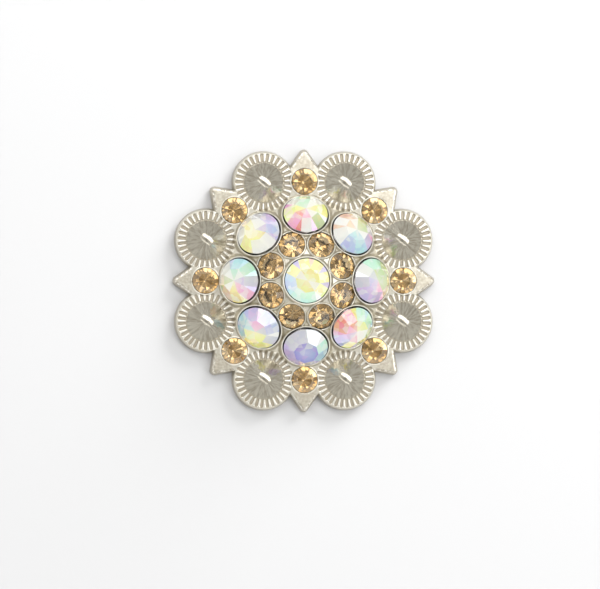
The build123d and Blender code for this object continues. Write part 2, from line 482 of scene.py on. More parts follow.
@dataclass
class Casting:
    """The die casting, made as one sixteenth of its relief that is mirrored and turned round."""

    plan: Plan
    cups: list[Cup]
    reed_count: int = 30
    slot_share: float = 0.5
    reed_inner_radius: float = 2.95
    reed_shoulder: float = 0.15
    slot_wall: float = 0.05
    berry_radius: float = 2.88
    berry_slope: float = 31.0
    berry_top_rounding: float = 2.2
    score_count: int = 60
    score_depth: float = 0.01
    score_start: float = 0.7
    wall_draft: float = 0.2
    edge_round: float = 0.22
    edge_bevel: float = 0.14
    edge_bevel_slope: float = 0.27
    foot_height: float = 0.12
    point_fall: float = 0.06
    fall_start: float = 1.0
    fillet: float = 0.1
    boss_radius: float = 3.7
    boss_recess: float = 0.3
    bore_radius: float = 2.53
    bore_depth: float = 3.23
    step_run: float = 0.02
    # Shares of polish with a painted highlight on the reed tops, the points' shoulders and the lips.
    reed_polish_and_highlight: float = 0.45
    edge_polish_and_highlight: float = 0.8
    lip_polish_and_highlight: float = 0.25
    # Share of painted shade on the outer wall.
    wall_shade: float = 0.5
    grain_shift: float = 3.7
    grain_along: float = 0.12
    arc_step: float = 1.5
    fill_step: float = 0.24
    back_step: float = 1.2
    tip_points: int = 7
    side_points: int = 14
    edge_shares: tuple[float, ...] = (0, 0.07, 0.2, 0.4, 0.7, 1, 1.6)
    edge_clearance: float = 0.4
    ray_clearance: float = 0.5
    least_clearance: float = 0.02
    line_width: float = 1e-6
    corner_pull: float = 0.12
    probe: float = 0.002
    weld: float = 0.001
    steepest: float = 0.42
    crease: float = 30.0

    @property
    def half_pitch(self) -> float:
        """Angle of the wedge, from the middle of a point to the middle of a lobe, in radians."""
        return math.radians(self.plan.pitch / 2)

    @property
    def lobe(self) -> Vector:
        """Plan centre of the wedge's lobe."""
        return polar(self.plan.lobe_ring_radius, self.plan.pitch / 2)

    def fold(self, x: np.ndarray, y: np.ndarray) -> tuple[np.ndarray, np.ndarray]:
        """Turn and mirror plan points into the first wedge.

        Args:
            x: plan x of the points.
            y: plan y of the points.

        Returns:
            Their x and y there.
        """
        radius, pitch = np.hypot(x, y), 2 * self.half_pitch
        angle = np.abs((np.arctan2(y, x) + self.half_pitch) % pitch - self.half_pitch)
        return radius * np.cos(angle), radius * np.sin(angle)

    def lobe_polar(self, x: np.ndarray, y: np.ndarray) -> tuple[np.ndarray, np.ndarray]:
        """Distance and angle, from the outward direction, of folded points about the lobe."""
        dx, dy = x - self.lobe.x, y - self.lobe.y
        return np.hypot(dx, dy), np.arctan2(dy, dx) - self.half_pitch

    def edge_distance(self, x: np.ndarray, y: np.ndarray) -> np.ndarray:
        """Measure how far folded plan points lie from the outline.

        Args:
            x: folded x of the points.
            y: folded y of the points.

        Returns:
            Distances, positive inside.
        """
        plan, half = self.plan, self.plan.half_point
        beyond = np.arctan2(np.abs(y), x - plan.tip_center) < math.pi / 2 - half
        side = (plan.point_apex - x) * math.sin(half) - np.abs(y) * math.cos(half)
        tip = plan.point_tip_rounding - np.hypot(x - plan.tip_center, y)
        lobe = plan.lobe_radius - self.lobe_polar(x, y)[0]
        point = np.where(beyond, tip, side)
        return np.maximum(np.maximum(point, lobe), plan.web_radius - np.hypot(x, y))

    def berry_height(self, reach: np.ndarray, angle: np.ndarray) -> np.ndarray:
        """Read a berry, a scored cone with a rounded top.

        Args:
            reach: distances from its centre.
            angle: angles about its centre.

        Returns:
            Heights over the berry's floor.
        """
        slope, top = math.radians(self.berry_slope), self.berry_top_rounding
        tangent = top * math.sin(slope)
        cone = (self.berry_radius - reach) * math.tan(slope)
        round_center = (self.berry_radius - tangent) * math.tan(slope) - top * math.cos(slope)
        cap = round_center + np.sqrt(np.maximum(top * top - reach * reach, 0))
        fade = np.clip((reach - tangent * self.score_start) / tangent, 0, 1)
        score = (0.5 + 0.5 * np.cos(angle * self.score_count)) ** 2
        return np.where(reach < tangent, cap, cone) - self.score_depth * fade * score

    def reed_inset(self, reach: np.ndarray, angle: np.ndarray) -> np.ndarray:
        """Measure how far inside a reed or the rim points lie.

        Args:
            reach: distances from the lobe's centre.
            angle: angles about the lobe's centre.

        Returns:
            Distances, negative in the slots between the reeds.
        """
        pitch = 2 * math.pi / self.reed_count
        off = angle % pitch - pitch / 2
        slot_half = self.slot_share * pitch / 2 * reach
        slot_end = self.plan.slot_end_radius - slot_half
        beside = np.hypot(reach * np.sin(off), np.maximum(reach - slot_end, 0)) - slot_half
        corner = pitch * reach / 2 - slot_half
        before_end = np.maximum(corner - reach + self.reed_inner_radius, 0)
        rounded = corner - np.hypot(np.maximum(corner - beside, 0), before_end)
        return np.minimum(rounded, beside)

    def relief_drop(self, inset: np.ndarray) -> np.ndarray:
        """Drop below the high surface at a distance inside a reed's edge."""
        deep = self.plan.reed_height - self.reed_shoulder
        return quarter_round(inset, self.reed_shoulder) + deep * np.clip(-inset / self.slot_wall, 0, 1)

    def top_height(self, x: np.ndarray, y: np.ndarray) -> np.ndarray:
        """Read the face over plan points.

        Args:
            x: plan x of the points.
            y: plan y of the points.

        Returns:
            Heights of the dome, the flange with its reeds and berries, and the cups.
        """
        plan = self.plan
        x, y = self.fold(x, y)
        radius = np.hypot(x, y)
        reach, angle = self.lobe_polar(x, y)
        dome = plan.dome_center + np.sqrt(np.maximum(plan.dome_radius**2 - radius**2, 0))
        past_topaz = x - plan.outer_topaz_ring_radius - self.fall_start
        fall = self.point_fall * np.maximum(past_topaz, 0)
        height = smooth_max(plan.flange_thickness - fall, dome, self.fillet * 2)
        in_ring = reach < plan.lobe_radius
        inset = np.where(in_ring, self.reed_inset(reach, angle), self.reed_shoulder)
        height = height - self.relief_drop(inset)
        floor = plan.flange_thickness - plan.reed_height
        berry = np.maximum(floor + self.berry_height(reach, angle), floor)
        height = np.where(reach < self.berry_radius, berry, height)
        for cup in self.cups:
            height = smooth_max(height, cup.rim_height(x, y), self.fillet)
        edge = self.edge_distance(x, y)
        inset, shoulder = edge - self.wall_draft, self.edge_round + self.edge_bevel
        bevel = np.clip(shoulder - inset, 0, shoulder) * self.edge_bevel_slope
        height = height - np.where(reach > plan.lobe_radius, bevel, 0)
        height = height - quarter_round(inset, self.edge_round)
        wall = np.clip(edge / self.wall_draft, 0, 1)
        height = self.foot_height + (height - self.foot_height) * wall
        for cup in self.cups:
            height = np.where(cup.within(x, y), cup.floor, height)
        return height

    def back_height(self, x: np.ndarray, y: np.ndarray) -> np.ndarray:
        """Read the back over plan points: flat rim, hollow, boss and the post's bore.

        Args:
            x: plan x of the points.
            y: plan y of the points.

        Returns:
            Heights.
        """
        radius = np.hypot(x, y)
        inside = np.maximum(self.plan.hollow_sphere_radius**2 - radius**2, 0)
        hollow = np.maximum(self.plan.dome_center + np.sqrt(inside), 0)
        half_run = self.step_run / 2
        height = np.where(radius < self.boss_radius + half_run, self.boss_recess, hollow)
        return np.where(radius < self.bore_radius - half_run, self.bore_depth, height)

    def valley(self, inset: float) -> Vector:
        """Find where a point's side runs into the lobe.

        Args:
            inset: distance inside the real edge.

        Returns:
            The plan point.
        """
        half = self.plan.half_point
        apex = Vector((self.plan.point_apex - inset / math.sin(half), 0))
        run = Vector((-math.cos(half), math.sin(half)))
        towards = (self.lobe.xy - apex).dot(run)
        lobe_radius = self.plan.lobe_radius - inset
        square = towards**2 - (self.lobe.xy - apex).length_squared + lobe_radius**2
        return apex + run * (towards - math.sqrt(square))

    def outline(self, inset: float) -> np.ndarray:
        """Follow the edge from a point's tip to a lobe's outermost spot.

        Args:
            inset: distance inside the real edge.

        Returns:
            Plan points as rows of x and y.
        """
        plan, tip_round = self.plan, self.plan.point_tip_rounding - inset
        spots = []
        for angle in np.linspace(0, math.pi / 2 - plan.half_point, self.tip_points):
            spots.append((plan.tip_center + tip_round * math.cos(angle), tip_round * math.sin(angle)))
        start, valley = Vector(spots[-1]), self.valley(inset)
        for share in np.linspace(0, 1, self.side_points)[1:]:
            spots.append(tuple(start.lerp(valley, float(share))))
        lobe_radius = plan.lobe_radius - inset
        step = math.radians(self.arc_step)
        offset = self.valley(0.0) - self.lobe.xy
        first = math.atan2(offset.y, offset.x) - self.half_pitch
        for number in range(math.ceil(first / step) + 3, 1):
            spot = self.lobe + polar(lobe_radius, math.degrees(self.half_pitch + number * step))
            spots.append((spot.x, spot.y))
        return np.array(spots)

    def arc_points(self, radii: list[float], angles: np.ndarray) -> np.ndarray:
        """Lay points on arcs about the lobe's centre, on the wedge's side of it.

        Args:
            radii: radii of the arcs.
            angles: angles from the outward direction, in degrees.

        Returns:
            Plan points as rows of x and y.
        """
        turns = self.half_pitch - np.radians(angles)
        ring = np.stack([np.cos(turns), np.sin(turns)], 1)
        return np.concatenate([ring * radius for radius in radii]) + np.array(self.lobe.xy)

    def reed_end_points(self) -> np.ndarray:
        """Lay points along the rounded outer ends of the slots and inner ends of the reeds.

        Returns:
            Plan points as rows of x and y.
        """
        pitch, outer = 360 / self.reed_count, self.plan.slot_end_radius
        slot_half = self.slot_share * math.radians(pitch / 2) * outer
        reed_half = (1 - self.slot_share) * math.radians(pitch / 2) * self.reed_inner_radius
        points = []
        for number in range(self.reed_count // 2 + 1):
            slot, reed = pitch * (number + 0.5), pitch * number
            for inset in (-self.slot_wall, 0, self.reed_shoulder * 0.4, self.reed_shoulder):
                for swing in range(-90, 91, 30):
                    for middle, reach, small, away in (
                        (slot, outer - slot_half, slot_half + inset, swing),
                        (reed, self.reed_inner_radius + reed_half, reed_half - inset, 180 + swing),
                    ):
                        turn = self.plan.pitch / 2 - middle
                        spot = self.lobe + polar(reach, turn) + polar(small, turn + away)
                        points.append((spot.x, spot.y))
        return np.array(points)

    def lobe_points(self) -> np.ndarray:
        """Lay points over a berry and its reeds, closest where the relief bends.

        Returns:
            Plan points as rows of x and y.
        """
        berry, inner, pitch = self.berry_radius, self.reed_inner_radius, 360 / self.reed_count
        outer, slot_edge = self.plan.slot_end_radius, self.slot_share * pitch / 2
        offsets = [0, *(slot_edge + step for step in (-0.8, 0, 0.8, 1.7)), pitch / 2]
        half_ring = range(self.reed_count // 2)
        angles = [pitch * (n + 0.5) + s * offset for n in half_ring for s in (1, -1) for offset in offsets]
        ring_radii = [inner + step for step in (-0.01, 0.03, 0.08, 0.16, 0.28)]
        ring_radii += [*np.linspace(inner + 0.48, outer - 0.32, 3)]
        ring_radii += [outer - step for step in (0.22, 0.12, 0.04, 0)]
        berry_arcs = (
            (10, [0.15]),
            (4, [0.4, 0.65]),
            (2, [0.9]),
            (1, [1.13, 1.5, 1.95, 2.4, berry - 0.08, berry - 0.012, berry + 0.012]),
        )
        clouds = [
            self.arc_points(radii, np.arange(0, 181, self.arc_step * coarser))
            for coarser, radii in berry_arcs
        ]
        reeds = self.arc_points(ring_radii, np.unique(np.round(angles, 3)))
        return np.concatenate([np.array([self.lobe.xy]), *clouds, reeds])

    def wedge_mesh(
        self, edge: np.ndarray, clouds: list[tuple[np.ndarray, float]]
    ) -> tuple[np.ndarray, np.ndarray]:
        """Triangulate one wedge in plan.

        Args:
            edge: outline points of the wedge, from the point's tip to the lobe's outermost spot.
            clouds: sets of plan points, each with the least distance to the points before it.

        Returns:
            Plan points and triangles.
        """
        sin_pitch, cos_pitch = math.sin(self.half_pitch), math.cos(self.half_pitch)
        sieve = Sieve()
        for x, y in [*edge, (0.0, 0.0)]:
            sieve.add(x, y)
        first_ray, second_ray = [], []
        for cloud, gap in clouds:
            # A cloud keeps a share of its gap from the outline and from the wedge's straight sides.
            inside = self.edge_distance(cloud[:, 0], cloud[:, 1]) > gap * self.edge_clearance
            for x, y in cloud[inside].tolist():
                high = x * sin_pitch - y * cos_pitch
                on_first, on_second = abs(y) < self.line_width, abs(high) < self.line_width
                if on_first:
                    y = 0.0
                elif on_second:
                    radius = math.hypot(x, y)
                    x, y = radius * cos_pitch, radius * sin_pitch
                elif min(y, high) < max(gap * self.ray_clearance, self.least_clearance):
                    continue
                if sieve.add(x, y, gap):
                    first_ray += [len(sieve.kept) - 1] * on_first
                    second_ray += [len(sieve.kept) - 1] * on_second
        first_ray.sort(key=lambda index: sieve.kept[index][0])
        second_ray.sort(key=lambda index: -sieve.kept[index][0])
        border = [len(edge), *first_ray, *range(len(edge)), *second_ray]
        flat = [Vector(spot) for spot in sieve.kept]
        spots, _, faces, *_ = delaunay_2d_cdt(flat, [], [border], 1, 1e-5)
        return np.array([tuple(spot) for spot in spots]), np.array(faces)

    def ray_points(self, step: float) -> np.ndarray:
        """Points along the two straight sides of the wedge, for the bare stretches."""
        ends = ((1.0, 0.0), (math.cos(self.half_pitch), math.sin(self.half_pitch)))
        return np.concatenate([np.outer(np.arange(step, self.plan.reach, step), end) for end in ends])

    def fill_points(self, step: float) -> np.ndarray:
        """Evenly staggered plan points over the wedge's box.

        Args:
            step: distance from point to point.

        Returns:
            Plan points as rows of x and y.
        """
        rows = range(math.ceil(self.plan.reach / (step * 0.866)))
        columns = range(math.ceil(self.plan.reach / step))
        points = [((j + 0.5 * (i % 2)) * step, (i + 0.5) * step * 0.866) for i in rows for j in columns]
        return np.array(points)

    def circle_points(self, radius: float, step: float) -> np.ndarray:
        """Plan points of a circle about the centre line, every few degrees over the wedge."""
        turns = np.radians(np.arange(0, self.plan.pitch / 2 + step / 2, step))
        return np.stack([radius * np.cos(turns), radius * np.sin(turns)], 1)

    def face_patch(self) -> Patch:
        """Make the wedge's face, out to the foot of its wall.

        Returns:
            The face, with normals from its exact slope, but for the steepest triangles.
        """
        insets = [self.wall_draft / 2]
        insets += [self.wall_draft + share * self.edge_round for share in self.edge_shares]
        clouds = [(self.outline(inset), 0.012) for inset in insets]
        clouds += [(cup.rings(), 0.025) for cup in self.cups]
        clouds += [(self.reed_end_points(), 0.02), (self.lobe_points(), 0.035)]
        clouds += [(self.ray_points(0.15), 0.1), (self.fill_points(self.fill_step), 0.15)]
        plan_spots, faces = self.wedge_mesh(self.outline(0.0), clouds)
        spots = np.column_stack([plan_spots, self.top_height(plan_spots[:, 0], plan_spots[:, 1])])
        corners = spots[faces]
        middle = corners.mean(axis=1, keepdims=True)
        near = corners + self.corner_pull * (middle - corners)
        x, y = near[..., 0], near[..., 1]
        rise_x = self.top_height(x + self.probe, y) - self.top_height(x - self.probe, y)
        rise_y = self.top_height(x, y + self.probe) - self.top_height(x, y - self.probe)
        normals = np.stack([-rise_x, -rise_y, np.full_like(x, 2 * self.probe)], -1)
        normals /= np.linalg.norm(normals, axis=-1, keepdims=True)
        across = np.cross(corners[:, 1] - corners[:, 0], corners[:, 2] - corners[:, 0])
        upright = np.abs(across[:, 2]) / np.linalg.norm(across, axis=1)
        normals[upright < self.steepest] = 0
        return Patch(spots, faces, normals)

    def back_patch(self) -> Patch:
        """Make the wedge's back.

        Returns:
            The flat rim, the hollow, the boss and the bore.
        """
        hollow = math.sqrt(self.plan.hollow_sphere_radius**2 - self.plan.dome_center**2)
        radii = [hollow, *np.linspace(hollow - 0.4, self.boss_radius + 0.4, 5)]
        radii += [self.boss_radius + self.step_run, self.boss_radius]
        radii += [self.bore_radius, self.bore_radius - self.step_run, self.bore_radius / 2]
        circles = np.concatenate([self.circle_points(radius, self.arc_step * 1.5) for radius in radii])
        clouds = [(circles, 0.015), (self.fill_points(self.back_step), 0.5)]
        plan_spots, faces = self.wedge_mesh(self.outline(self.foot_height), clouds)
        spots = np.column_stack([plan_spots, self.back_height(plan_spots[:, 0], plan_spots[:, 1])])
        return Patch(spots, faces[:, ::-1], np.zeros((len(faces), 3, 3)))

    def foot_patch(self) -> Patch:
        """Make the bevel between the wall's foot and the back.

        Returns:
            The bevel.
        """
        upper, lower = self.outline(0.0), self.outline(self.foot_height)
        heights = np.repeat([self.foot_height, 0.0], len(upper))
        spots = np.column_stack([np.concatenate([upper, lower]), heights])
        first, count = np.arange(len(upper) - 1), len(upper)
        lower_row = np.stack([first, first + count, first + count + 1], 1)
        upper_row = np.stack([first, first + count + 1, first + 1], 1)
        faces = np.concatenate([lower_row, upper_row])
        return Patch(spots, faces, np.zeros((len(faces), 3, 3)))

    def copies(self, wedge: Patch) -> Patch:
        """Mirror and turn the wedge into every place and weld the copies.

        Args:
            wedge: the wedge's face, foot and back.

        Returns:
            The whole casting.
        """
        turned = []
        for number in range(self.plan.repeats):
            spin = np.array(Matrix.Rotation(math.radians(number * self.plan.pitch), 3, "Z")).T
            for mirror in (1, -1):
                place = np.diag([1.0, mirror, 1.0]) @ spin
                normals = (wedge.normals @ place)[:, ::mirror]
                turned.append(Patch(wedge.spots @ place, wedge.faces[:, ::mirror], normals))
        whole = Patch.joined(turned)
        tree = KDTree(len(whole.spots))
        for index, spot in enumerate(whole.spots):
            tree.insert(spot, index)
        tree.balance()
        nearby = [min(hit[1] for hit in tree.find_range(spot, self.weld)) for spot in whole.spots]
        first, number = np.unique(nearby, return_inverse=True)
        faces = number.reshape(-1)[whole.faces]
        sound = (faces != np.roll(faces, 1, axis=1)).all(axis=1)
        return Patch(whole.spots[first], faces[sound], whole.normals[sound])

    def lobe_grain(self, spots: np.ndarray) -> np.ndarray:
        """Give points a place for their streaks, which run outwards on each lobe.

        Args:
            spots: points of the casting.

        Returns:
            Direction and reach about the point's own lobe, shifted from lobe to lobe.
        """
        pitch = 2 * self.half_pitch
        number = np.floor(np.arctan2(spots[:, 1], spots[:, 0]) / pitch)
        turn, shift = (number + 0.5) * pitch, number * self.grain_shift
        dx = spots[:, 0] - self.plan.lobe_ring_radius * np.cos(turn)
        dy = spots[:, 1] - self.plan.lobe_ring_radius * np.sin(turn)
        reach = np.maximum(np.hypot(dx, dy), 0.05)
        return np.stack([dx / reach + shift, dy / reach + shift, reach * self.grain_along], 1)

    def marks(self, spots: np.ndarray) -> dict[str, np.ndarray]:
        """Mark what the finish, with its painted highlights and shade, reads from the relief.

        Args:
            spots: points of the casting.

        Returns:
            Values by mark: recess, which carries painted shade, 1 in the slots, a share on the outer wall
                and 2 in the cups; polish with a painted highlight; berry and sand.
        """
        plan, height = self.plan, spots[:, 2]
        x, y = self.fold(spots[:, 0], spots[:, 1])
        reach, angle = self.lobe_polar(x, y)
        edge = self.edge_distance(x, y)
        above_back = height > self.back_height(x, y) + self.probe
        face_side = above_back & (height > plan.flange_thickness - 2 * plan.reed_height)
        in_ring = face_side & (reach < plan.lobe_radius) & (reach > self.berry_radius)
        drop = self.relief_drop(self.reed_inset(reach, angle)) / plan.reed_height
        past_stone = x > plan.outer_topaz_ring_radius + plan.topaz_diameter / 2
        on_point = face_side & past_stone & (reach > plan.lobe_radius)
        on_berry = face_side & (reach < self.berry_radius + 0.01)
        on_wall = np.clip(1.5 - edge / self.wall_draft, 0, 1) * (above_back & ~on_berry)
        # The recess mark carries painted shade: by depth in the slots, and a share on the outer wall.
        recess = np.where(in_ring, np.clip(drop, 0, 1), self.wall_shade * on_wall)
        on_reed = in_ring & (reach < plan.slot_end_radius)
        # Polish on the berries, and polish with a painted highlight on the reed tops, the points'
        # shoulders and the lips.
        rubbed = np.where(on_berry, 1.0, self.reed_polish_and_highlight * on_reed * (1 - recess))
        shoulder = np.abs(edge - self.wall_draft - self.edge_round)
        wear_and_highlight = np.clip(1 - shoulder / self.edge_bevel, 0, self.edge_polish_and_highlight)
        rubbed = np.where(on_point, wear_and_highlight, rubbed)
        for cup in self.cups:
            lip = cup.plane_reach(x, y)[1] - cup.well_radius
            on_lip = face_side & (lip > -self.probe) & (lip < cup.lip_width + self.probe)
            rubbed = np.where(on_lip, self.lip_polish_and_highlight, rubbed)
            recess = np.where(on_lip, 0, recess)
            # Inside the wells the mark is 2, for the near-black painted shade on their bottoms.
            recess = np.where(above_back & cup.within(x, y), 2, recess)
        return {"recess": recess, "rubbed": rubbed, "berry": on_berry, "sand": on_point}

    def smooth(self, mesh: bpy.types.Mesh, exact: np.ndarray) -> None:
        """Shade the mesh smooth between its creases.

        Args:
            mesh: the casting's mesh.
            exact: exact corner normals, zero where they aren't known.
        """
        mesh.shade_smooth()
        mesh.set_sharp_from_angle(angle=math.radians(self.crease))
        default = np.empty(len(mesh.loops) * 3, dtype=np.float32)
        mesh.corner_normals.foreach_get("vector", default)
        exact = exact.reshape(-1, 3)
        known = np.abs(exact).sum(axis=1) > 0
        mesh.normals_split_custom_set(np.where(known[:, None], exact, default.reshape(-1, 3)))

    def build(self) -> bpy.types.Object:
        """Build the whole casting: its face, its wall and its back.

        Returns:
            The closed casting, with its relief in attributes for the finish.
        """
        wedge = Patch.joined([self.face_patch(), self.foot_patch(), self.back_patch()])
        whole = self.copies(wedge)
        mesh = bpy.data.meshes.new("nickel_casting")
        mesh.from_pydata(whole.spots * MM, [], whole.faces)
        self.smooth(mesh, whole.normals)
        for name, values in self.marks(whole.spots).items():
            layer = mesh.attributes.new(name, "FLOAT", "POINT")
            layer.data.foreach_set("value", values.astype(np.float32))
        grain = mesh.attributes.new("lobe_grain", "FLOAT_VECTOR", "POINT")
        grain.data.foreach_set("vector", self.lobe_grain(whole.spots).astype(np.float32).reshape(-1))
        return add_object("nickel_casting", mesh)


class Tint(Enum):
    """Colours that the iridescent coating throws back, painted into the facets as fixed reflections and
    glints, each with its letter in the charts.
    """

    LEMON = ("y", "fffa6c")
    LIME = ("g", "c2d672")
    MINT = ("m", "b6f2ce")
    AQUA = ("a", "a4dcf0")
    ICE = ("b", "b4c8f6")
    LILAC = ("l", "cbb4f0")
    VIOLET = ("v", "3a1ccc")
    ROSE = ("r", "ffa2dc")
    CORAL = ("c", "f5754c")
    PEACH = ("p", "ffd4ac")
    SILVER = ("s", "cfcee0")
    WHITE = ("w", "ffffff")

    @classmethod
    def read(cls, chart: str) -> list[str]:
        """Colours of a chart's letters, as sRGB hex."""
        colours = {tint.value[0]: tint.value[1] for tint in cls}
        return [colours[letter] for letter in chart]


@dataclass(frozen=True)
class CoatAndGlintChart:
    """How one crystal's coating reflections and glints are painted: its turn, and a letter of Tint for
    each facet.

    The facets are charted anticlockwise in the plan, the table's sectors and the mains from the one
    on the side of +x, the wedges and the foiled back facets from half a facet further on.
    """

    turn: float
    table: str
    mains: str
    wedges: str
    foil: str


# The charts paint each facet's coating reflection, with white and silver facets for glints.
CENTRE_CHART = CoatAndGlintChart(10.5, "yyywyyyw", "yyyybmmy", "lplbamwl", "wwywwyww")
RING_CHARTS = (
    CoatAndGlintChart(5, "gggsllrg", "ggmwsllp", "gmmwllrg", "ggmwblry"),
    CoatAndGlintChart(10, "ggwpwaaw", "sgpwwbal", "gwppwbar", "gygwaawl"),
    CoatAndGlintChart(0, "ywmmycrw", "ywmwyrwg", "ywmrycrw", "lmwyrcwy"),
    CoatAndGlintChart(3, "lwwyyyyy", "blswwyww", "llwswywl", "lwyyywyl"),
    CoatAndGlintChart(-2, "lwmwgwyr", "smawwpyr", "mabwgpyl", "mwagwywl"),
    CoatAndGlintChart(10, "srrayyyy", "bslaayys", "lrbbayyw", "srlyyyyw"),
    CoatAndGlintChart(15, "vvvvvvvv", "mwssllsa", "wwsllala", "wslssvvs"),
    CoatAndGlintChart(-15, "wyycrlrw", "gmmcclyg", "aaycrblg", "ymcrlrwy"),
)
# One topaz in both lists, painted darker for the inner stones, whose tilt catches more softbox light, and
# lighter for the outer ones. Each list's facets go lighter and darker in turn, as painted highlight and
# shade.
INNER_TOPAZ_DARKENED_TONES = ("eae6da", "cabfa5", "e3dac6", "b5a789", "ebe9e4", "d8ceb4", "c5b799")
OUTER_TOPAZ_LIGHTENED_TONES = ("fffef8", "eee4ce", "fffaec", "dacdb1", "ffffff", "f9efda", "e8dbc0")
INNER_TOPAZ_TURNS = (10, -5, 22, 3, -16, 14, -11, 7)
OUTER_TOPAZ_TURNS = (-7, 19, 2, -13, 9, -20, 15, 5)


@dataclass(frozen=True)
class StoneCut:
    """A round cut stone: table, eight main and eight wedge crown facets, and a pointed back."""

    diameter: float
    table: float
    crown: float
    girdle: float
    pavilion: float
    facets: int = 8
    wedge_reach: float = 1.02
    culet_radius: float = 0.12
    girdle_sides: int = 96
    bleed: float = 0.0
    middle_glow: float = 0.5
    table_glow: float = 0.2
    level_from: float = 0.99
    plumb_to: float = 0.05

    def mesh(self) -> bmesh.types.BMesh:
        """Cut the stone, the top of its girdle at height zero.

        Returns:
            A closed mesh in millimetres, its faces flat.
        """
        radius, bm = self.diameter / 2, bmesh.new()
        depth = self.crown + self.girdle + self.pavilion
        bmesh.ops.create_cone(
            bm, cap_ends=True, segments=self.girdle_sides, radius1=radius, radius2=radius, depth=depth
        )
        bmesh.ops.translate(bm, verts=bm.verts, vec=(0, 0, self.crown - depth / 2))
        step = 360 / self.facets
        corner = self.table / 2 / math.cos(math.radians(step / 2))
        wedge = radius * self.wedge_reach
        for number in range(self.facets):
            angle = number * step
            self.cut(bm, polar(radius, angle), polar(self.crown, angle, radius - self.table / 2))
            angle += step / 2
            self.cut(bm, polar(wedge, angle), polar(self.crown, angle, wedge - corner))
            back = polar(self.pavilion, angle, self.culet_radius - radius)
            self.cut(bm, polar(radius, angle, -self.girdle), back)
        bm.normal_update()
        bmesh.ops.poke(bm, faces=[face for face in bm.faces if face.normal.z > self.level_from])
        bm.normal_update()
        return bm

    def cut(self, bm: bmesh.types.BMesh, spot: Vector, normal: Vector) -> None:
        """Cut off what lies beyond a plane and close the stone with one flat facet.

        Args:
            bm: the stone.
            spot: a point of the plane.
            normal: the plane's normal, towards the waste.
        """
        parts = [*bm.verts, *bm.edges, *bm.faces]
        cut = bmesh.ops.bisect_plane(
            bm, geom=parts, plane_co=spot, plane_no=normal, clear_outer=True, dist=1e-5
        )
        edges = [part for part in cut["geom_cut"] if isinstance(part, bmesh.types.BMEdge)]
        bmesh.ops.contextual_create(bm, geom=edges)

    def facet(self, face: bmesh.types.BMFace) -> tuple[str, int]:
        """Find a facet's kind and its number in the charts.

        Args:
            face: a face of the stone in its own frame.

        Returns:
            One of table, main, wedge, girdle and foil, and a number from 0.
        """
        upright = face.normal.z
        level = upright > self.level_from
        if abs(upright) < self.plumb_to:
            return "girdle", 0
        side = face.calc_center_median() if level else face.normal
        turn = math.degrees(math.atan2(side.y, side.x))
        half_steps = round(turn * self.facets / 180) % (2 * self.facets)
        kind = "wedge" if half_steps % 2 else "main"
        if level or upright < 0:
            kind = "table" if level else "foil"
        return kind, half_steps // 2

    def glow(self, spot: Vector) -> float:
        """Find how much white a corner's tint holds, as a painted highlight: most in the middle, none at
        the girdle.

        Args:
            spot: the corner in the stone's own frame.

        Returns:
            The share of white.
        """
        if spot.xy.length < self.culet_radius:
            return self.middle_glow
        return self.table_glow if spot.z > self.crown / 2 else 0.0


CRYSTAL_CUT = StoneCut(diameter=6.35, table=3.3, crown=1.4, girdle=0.2, pavilion=2.5, bleed=0.3)
TOPAZ_CUT = StoneCut(diameter=3.7, table=1.95, crown=0.75, girdle=0.15, pavilion=1.45)


